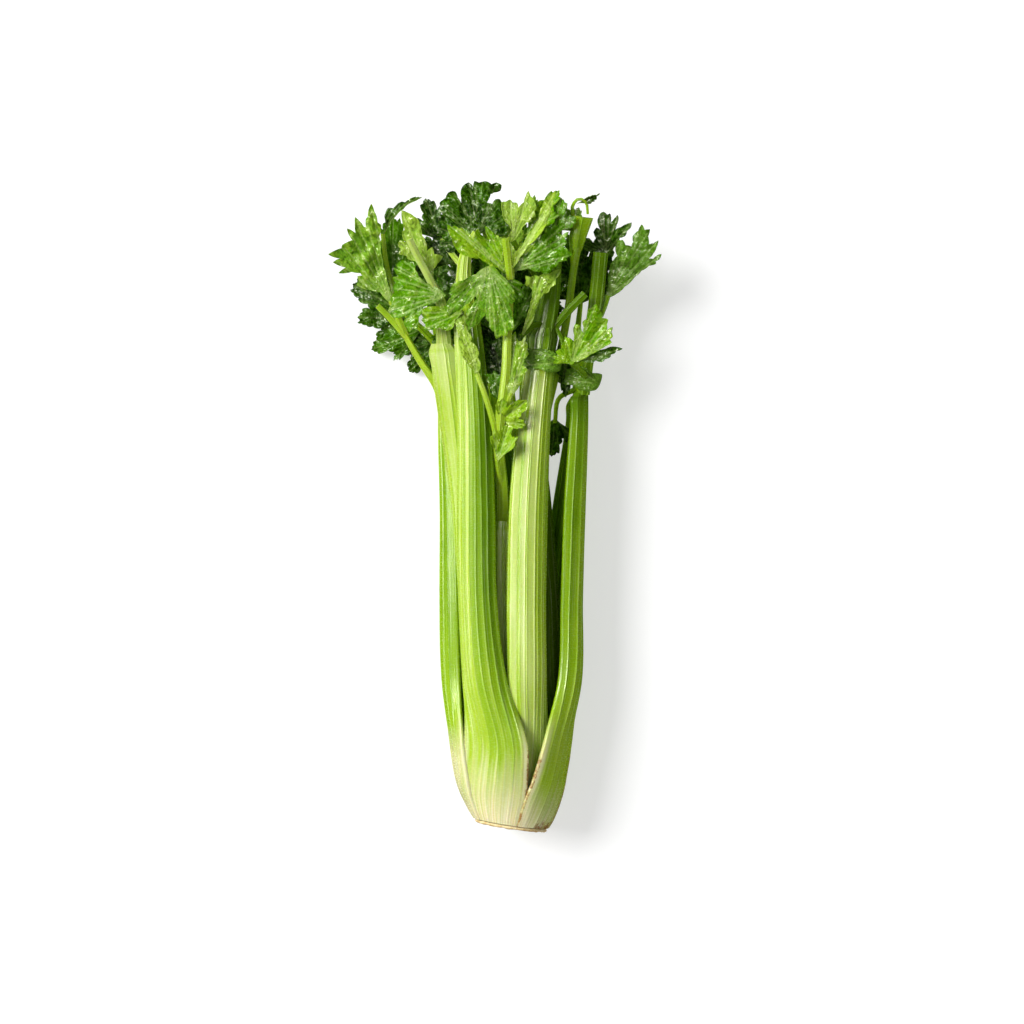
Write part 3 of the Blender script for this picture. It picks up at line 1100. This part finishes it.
def edge_pattern(edge, length):
    """The outline and the veins of a leaflet with a margin of its own, as flat points in millimetres."""
    corners = np.array([(0, 0), *edge]) * length / 100
    n = len(corners)
    loop = [bowed(corners[k], corners[(k + 1) % n], -0.06) for k in range(n)]
    veins = []
    reach = np.hypot(*corners.T)
    longest = reach.max()
    for k in range(1, n):
        before, after = corners[k] - corners[k - 1], corners[(k + 1) % n] - corners[k]
        turn = math.atan2(before[0] * after[1] - before[1] * after[0], before @ after)
        if turn > TIP_TURN and reach[k] > 0.35 * longest:
            fork = 0.25 * (reach[k] / longest) * (k % 3)
            main = 0.95 if reach[k] > 0.8 * longest else 0.6
            veins.append((fork * 0.3 * corners[k], 0.96 * corners[k], main))
    return np.concatenate(loop), veins


def leaf_pattern(pattern, length, tooth, rng):
    """A leaflet's outline and its veins as flat points in millimetres, with the base at the origin."""

    def polar(degrees, radius):
        turn = math.radians(degrees)
        return np.array([math.cos(turn), math.sin(turn)]) * radius * length

    lobes = pattern.lobes
    marks = []  # (angle, reach, whether it is a tip, the lobe)
    for i, lobe in enumerate(lobes):
        axis, reach = lobe
        before, after = lobes[i - 1] if i else None, lobes[i + 1] if i + 1 < len(lobes) else None
        left = (axis + before[0]) / 2 if before else axis + pattern.margin
        right = (axis + after[0]) / 2 if after else axis - pattern.margin
        corner = reach * (1 - LOBE_DROP) - tooth / 2
        if not before:
            marks.append((left, corner, False, lobe))
        flank = flank_of(lobe, left, length, tooth, rng)[::-1]
        marks += [(*mark, k % 2 == 0, lobe) for k, mark in enumerate(flank)]
        marks.append((axis, reach, True, lobe))
        flank = flank_of(lobe, right, length, tooth, rng)
        marks += [(*mark, k % 2 == 1, lobe) for k, mark in enumerate(flank)]
        marks.append((right, pattern.sinus * min(reach, after[1]) if after else corner, False, lobe))

    base = np.zeros(2)
    corners = [polar(angle, reach) for angle, reach, _, _ in marks]
    loop = [bowed(base, corners[0], -0.05)]
    for k in range(len(corners) - 1):
        a, b = corners[k], corners[k + 1]
        if marks[k][2] or marks[k + 1][2]:
            loop.append(toothed(a, b, marks[k + 1][2], 0.03 + 0.15 * pattern.round))
        else:
            loop.append(bowed(a, b, 0.05))
    loop.append(bowed(corners[-1], base, -0.05))
    veins = []
    widest = max(reach for _, reach in lobes)
    for angle, reach, tip, (axis, full_reach) in marks:
        if not tip:
            continue
        if angle == axis:
            veins.append((base, polar(axis, reach * 0.97), 0.6 + 0.4 * full_reach / widest))
        else:
            veins.append((polar(axis, reach * 0.42), polar(angle, reach * 0.96), 0.4))
    return np.concatenate(loop)[::-1], veins


def inside(points, loop):
    """Which flat points lie inside a closed loop."""
    a, b = loop, np.roll(loop, -1, 0)
    x, y = points[:, :1], points[:, 1:]
    crosses = (a[:, 1] > y) != (b[:, 1] > y)
    rise = np.where(b[:, 1] == a[:, 1], 1e-9, b[:, 1] - a[:, 1])
    at = a[:, 0] + (y - a[:, 1]) * (b[:, 0] - a[:, 0]) / rise
    return (crosses & (x < at)).sum(1) % 2 == 1


def distance_to(points, start, end):
    """Distances of flat points from a straight line between two others, and how far along it each is."""
    line = end - start
    t = np.clip((points - start) @ line / (line @ line), 0, 1)
    return np.linalg.norm(points - (start + t[:, None] * line), axis=1), t


def flat_mesh(loop, veins, grain):
    """Triangles about as wide as grain that fill a loop, with vertices along its veins. The grid of other
    vertices keeps off the veins and the margin, so that no triangle is a sliver."""
    low, high = loop.min(0), loop.max(0)
    rows = []
    for j, y in enumerate(np.arange(low[1], high[1], grain * 0.87)):
        xs = np.arange(low[0] + (j % 2) * grain / 2, high[0], grain)
        rows.append(np.stack([xs, np.full(len(xs), y)], 1))
    grid = np.vstack(rows)
    grid = grid[inside(grid, loop)]
    along_veins = []
    for start, end, _ in veins:
        steps = max(2, int(np.linalg.norm(end - start) / grain))
        along_veins.append(start + (end - start) * np.linspace(0, 1, steps + 1)[1:-1, None])
    along_veins = np.vstack(along_veins)
    along_veins = along_veins[inside(along_veins, loop)]
    for start, end, _ in veins:
        grid = grid[distance_to(grid, start, end)[0] > 0.45 * grain]
    for start, end in zip(loop, np.roll(loop, -1, 0)):
        near = distance_to(grid, start, end)[0] < 0.4 * grain
        grid = grid[~near]
        along_veins = along_veins[distance_to(along_veins, start, end)[0] > 0.25 * grain]
    points = np.vstack([loop, along_veins, grid])
    found = geometry.delaunay_2d_cdt([Vector(p) for p in points], [], [list(range(len(loop)))], 1, 1e-4)
    return np.array([tuple(p) for p in found[0]]), np.array(found[2])


def place_leaf(leaf, flat, lift):
    """Flat points with their lift, in millimetres, on the bent leaflet where it grows."""
    base = np.array(leaf.at, float)
    chord = np.array(leaf.to, float) - base
    reach = np.linalg.norm(chord)
    x = chord / reach
    y = np.cross((0, 0, 1), x)
    y /= np.linalg.norm(y)
    z = np.cross(x, y)
    roll = math.radians(leaf.roll)
    y, z = y * math.cos(roll) + z * math.sin(roll), z * math.cos(roll) - y * math.sin(roll)
    turn = math.radians(leaf.bend)
    length = leaf_length(leaf)
    along, across = flat[:, :1], flat[:, 1:]
    tilt = turn * (0.5 - along / length)
    if abs(turn) > 1e-3:
        bow = length / turn
        forth, rise = math.sin(turn / 2) - np.sin(tilt), np.cos(tilt) - math.cos(turn / 2)
        rib = base + x * bow * forth + z * bow * rise
    else:
        rib = base + x * along
    up = z * np.cos(tilt) - x * np.sin(tilt)
    fold = math.radians(leaf.fold)
    side = np.sqrt(across**2 + 1.2) - math.sqrt(1.2)
    return rib + y * across * math.cos(fold) + up * (side * math.sin(fold) + lift[:, None])


def leaf_length(leaf):
    """The length of a leaflet along its rib, which is longer than its reach where it is bent."""
    reach = math.dist(leaf.at, leaf.to)
    turn = math.radians(leaf.bend)
    return reach * turn / 2 / math.sin(turn / 2) if abs(turn) > 1e-3 else reach


def waves_over(flat, length, shift, depth):
    """Smooth random values between -1 and 1 at flat points, in waves of the given length."""
    return np.array([noise.noise(Vector((x / length + shift, y / length, depth))) for x, y in flat])


def near_veins(flat, veins):
    """How much each flat point is on a vein, and its distances from any vein and from a main one."""
    on_vein = np.zeros(len(flat))
    nearest = np.full(len(flat), 99.0)
    from_main = np.full(len(flat), 99.0)
    for start, end, strength in veins:
        distance, t = distance_to(flat, start, end)
        width = (0.2 + 0.35 * strength) * (1 - 0.6 * t)
        on_vein = np.maximum(on_vein, strength * np.clip(1 - distance / width, 0, 1))
        nearest = np.minimum(nearest, distance)
        if strength > 0.5:
            from_main = np.minimum(from_main, distance)
    return on_vein, nearest, from_main


def thickened(middle, triangles, thickness):
    """The points and faces of a closed blade on both sides of a thin one."""
    a, b, c = (middle[triangles[:, k]] for k in range(3))
    normals = np.zeros_like(middle)
    for k in range(3):
        np.add.at(normals, triangles[:, k], np.cross(b - a, c - a))
    normals /= np.linalg.norm(normals, axis=1)[:, None] + 1e-12
    half = thickness / 2
    points = np.vstack([middle + normals * half, middle - normals * half])
    points[:, 2] = np.maximum(points[:, 2], LEAF_REST)
    n = len(middle)
    sides = {(p, q): None for a, b, c in triangles.tolist() for p, q in ((a, b), (b, c), (c, a))}
    faces = triangles.tolist() + (triangles[:, ::-1] + n).tolist()
    return points, faces + [(q, p, p + n, q + n) for p, q in sides if (q, p) not in sides]


def add_leaf(shell, leaf, settings, rng):
    """Adds one leaflet, as a thin closed blade with its margin, veins, quilting and waves."""
    length = leaf_length(leaf)
    if leaf.kind in EDGES:
        axes = [-60, -20, 20, 60]
        loop, veins = edge_pattern(EDGES[leaf.kind], length)
    else:
        pattern = KINDS[leaf.kind]._replace(**leaf.shape)
        axes = [axis for axis, _ in pattern.lobes[::-1]]
        loop, veins = leaf_pattern(pattern, length, settings.tooth, rng)
    flat, triangles = flat_mesh(loop, veins, settings.grain / MM)
    on_vein, nearest, from_main = near_veins(flat, veins)
    out = np.hypot(flat[:, 0], flat[:, 1]) / length
    from_rib = np.abs(flat[:, 1]) / length
    turn = np.degrees(np.arctan2(flat[:, 1], flat[:, 0]))
    shift = rng.uniform(0, 50)
    waves = waves_over(flat, WAVE_LENGTH, shift, shift)
    ripples = waves_over(flat, RIPPLE_LENGTH, shift, -shift)
    size = length / WAVY_LEAF
    lift = settings.quilt / MM * (1 - np.exp(-((nearest / VEIN_RISE) ** 2)))
    lift += settings.wave / MM * size * np.clip(from_rib * 4, 0, 1) * (1.5 * waves + 0.45 * ripples)
    lift += leaf.keel * np.sqrt(from_main**2 + 0.5)
    lift -= leaf.droop * length * np.clip(out - 0.4, 0, 1) ** 2 * 2
    lift += settings.unrest * length * out**1.6 * np.interp(turn, axes, rng.uniform(-1, 1, len(axes)))
    points, faces = thickened(place_leaf(leaf, flat, lift), triangles, settings.thickness / MM)
    ribs = np.r_[on_vein, on_vein * 1.1]
    tone = np.clip(leaf.tone + 0.12 * np.r_[waves, waves], 0, 1)
    under = np.r_[np.full(len(flat), leaf.pale), np.ones(len(flat))]
    reach = out * length
    shell.add(points, faces, ribs, tone, under, np.r_[turn, turn], np.r_[reach, reach])


def add_stem(shell, stem, facing, tone):
    """Adds a ribbed, channelled stem whose back faces the given way at its start."""
    length = sum(math.dist(a, b) for a, b in zip(stem.path, stem.path[1:]))
    steps = max(6, int(length / STEM_STEP))
    places, along = curve_through(stem.path, steps)
    count = 5 if stem.radius[0] > THICK_STEM else 3
    ridges = [((k + 0.75) / (count + 0.5), 0.6 + 0.4 * (k % 2)) for k in range(count)]
    side = np.cross(along[0], facing)
    rings, ribs, edges, shares = [], [], [], []
    for k, (place, direction) in enumerate(zip(places, along)):
        radius = stem.radius[0] + (stem.radius[1] - stem.radius[0]) * (k / steps)
        side = side - direction * (side @ direction)
        side /= np.linalg.norm(side)
        out = np.cross(side, direction)
        thickness = 2 * radius * stem.flat * 0.95
        outline, rib, edge, share = section(
            2 * radius, STEM_ARC, thickness * 0.8, thickness * 0.42, ridges, 0.09 * radius, 0.6
        )
        outline[:, 1] += thickness / 2
        rings.append(place + outline[:, :1] * side + outline[:, 1:] * out)
        ribs.append(rib)
        edges.append(edge * 0.2)
        shares.append(share)
    faces = tube_faces(len(rings), len(rings[0]))
    across = with_ends(shares, 0.5) * 2 * stem.radius[0]
    reach = np.r_[np.repeat(np.linspace(0, length, steps + 1), len(rings[0])), 0, length]
    shell.add(closed(rings), faces, with_ends(ribs, 0.9), tone, with_ends(edges, 0), across, reach, slot=1)


def build_spray(name, leaf_settings, skin, leaf_skin):
    """Builds the stems and leaflets that grow from one stalk's joint."""
    stems, leaves = SPRAYS[name]
    facing = math.radians(STALKS[name].free[-1][3])
    back = np.array([math.cos(facing), 0, math.sin(facing)])
    shell = Shell()
    rng = np.random.default_rng(leaf_settings.seed + sum(map(ord, name)))
    for k, stem in enumerate(stems):
        add_stem(shell, stem, back if k == 0 else np.array([0, 0, 1.0]), STALKS[name].top)
    for leaf in leaves:
        add_leaf(shell, leaf, leaf_settings, rng)
    piece = shell.build(f"celery_leaves_{name}", [leaf_skin, skin])
    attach(piece, "root")
    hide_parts(f"leaves_{name}")


# ---- The stage ----

FLOOR_SIZE = 6
CAMERA_OVER = (9.6 * MM, -2.6 * MM)  # the place on the floor that the camera looks down on
MIDDLE_HEIGHT = 45 * MM  # height over the floor at which the frame's width is measured
SHEEN_TINT = (1, 0.98, 0.82)
# A sun: the way it comes from and its height, in degrees, how wide it looks, the setting that its strength
# follows, and its share of that. The suns that follow sheen are seen only in glossy skin.
Sun = namedtuple("Sun", "azimuth height width strength share")

SUNS = {
    "key_light": Sun(155, 46, 32, "key", 1),
    "right_fill": Sun(20, 50, 70, "fill", 1.6),
    "left_fill": Sun(250, 50, 70, "fill", 1),
    "sheen_light": Sun(178, 33, 18, "sheen", 1.1),
    "glint_light": Sun(130, 68, 12, "sheen", 2.6),
}

# ---- Operators ----


class CELERY_OT_crown(Operator):
    """Builds the trimmed stem at the root end"""

    bl_idname = "celery.crown"
    bl_label = "Crown"

    def execute(self, context):
        build_crown(crown_material(context.scene.celery_crown))
        return {"FINISHED"}


class CELERY_OT_stalks(Operator):
    """Builds every stalk, from its foot on the crown to its joint"""

    bl_idname = "celery.stalks"
    bl_label = "Stalks"

    def execute(self, context):
        settings = context.scene.celery_stalks
        material = skin_material(settings)
        for name, stalk in STALKS.items():
            build_stalk(name, stalk, settings, material)
        return {"FINISHED"}


class CELERY_OT_sprays(Operator):
    """Builds the leaf stems and leaflets that grow from every joint"""

    bl_idname = "celery.sprays"
    bl_label = "Leaves"

    def execute(self, context):
        settings = context.scene.celery_leaves
        skin, leaf_skin = bpy.data.materials["celery_skin"], leaf_material(settings)
        for name in SPRAYS:
            build_spray(name, settings, skin, leaf_skin)
        return {"FINISHED"}


class CELERY_OT_stage(Operator):
    """Lays the floor and sets the lights and the camera"""

    bl_idname = "celery.stage"
    bl_label = "Stage"

    def execute(self, context):
        settings = context.scene.celery_stage
        bpy.ops.object.select_all(action="DESELECT")
        bpy.ops.mesh.primitive_plane_add(size=FLOOR_SIZE, location=(0, 0, 0))
        floor = context.object
        floor.name = "studio_floor"
        floor.visible_glossy = False
        floor.data.materials.append(floor_material(settings))
        world = bpy.data.worlds.new("studio")
        context.scene.world = world
        world.use_nodes = True
        background = world.node_tree.nodes["Background"]
        background.inputs["Color"].default_value = (1, 1, 1, 1)
        background.inputs["Strength"].default_value = settings.sky
        world.cycles_visibility.glossy = False
        for name, sun in SUNS.items():
            bpy.ops.object.light_add(type="SUN")
            light = context.object
            light.name = name
            light.data.energy = sun.share * getattr(settings, sun.strength)
            light.data.angle = math.radians(sun.width)
            light.rotation_euler = (0, math.radians(90 - sun.height), math.radians(sun.azimuth))
            light.visible_glossy = sun.strength == "sheen"
            light.visible_diffuse = not light.visible_glossy
            if light.visible_glossy:
                light.data.color = SHEEN_TINT
        distance = settings.camera_distance
        bpy.ops.object.camera_add(location=(*CAMERA_OVER, distance), rotation=(0, 0, 0))
        camera = context.object
        camera.name = "camera"
        camera.data.lens = camera.data.sensor_width * (distance - MIDDLE_HEIGHT) / settings.frame_width
        context.scene.camera = camera
        context.scene.view_settings.view_transform = "Standard"
        return {"FINISHED"}


class CELERY_PT_panel(Panel):
    """Lists the operators that build the head"""

    bl_label = "Celery"
    bl_space_type = "VIEW_3D"
    bl_region_type = "UI"
    bl_category = "Celery"

    def draw(self, context):
        for operator in OPERATORS:
            self.layout.operator(operator.bl_idname)


OPERATORS = (CELERY_OT_stage, CELERY_OT_crown, CELERY_OT_stalks, CELERY_OT_sprays)
SETTINGS = {
    "celery_crown": CeleryCrownSettings,
    "celery_stalks": CeleryStalkSettings,
    "celery_leaves": CeleryLeafSettings,
    "celery_stage": CeleryStageSettings,
}


def register():
    for group in SETTINGS.values():
        bpy.utils.register_class(group)
    for name, group in SETTINGS.items():
        setattr(bpy.types.Scene, name, PointerProperty(type=group))
    for operator in (*OPERATORS, CELERY_PT_panel):
        bpy.utils.register_class(operator)


def unregister():
    for operator in (*OPERATORS, CELERY_PT_panel):
        bpy.utils.unregister_class(operator)
    for name, group in SETTINGS.items():
        delattr(bpy.types.Scene, name)
        bpy.utils.unregister_class(group)


def main():
    register()
    bpy.ops.celery.stage()
    bpy.ops.celery.crown()
    bpy.ops.celery.stalks()
    bpy.ops.celery.sprays()
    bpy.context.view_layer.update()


if __name__ == "__main__":
    main()
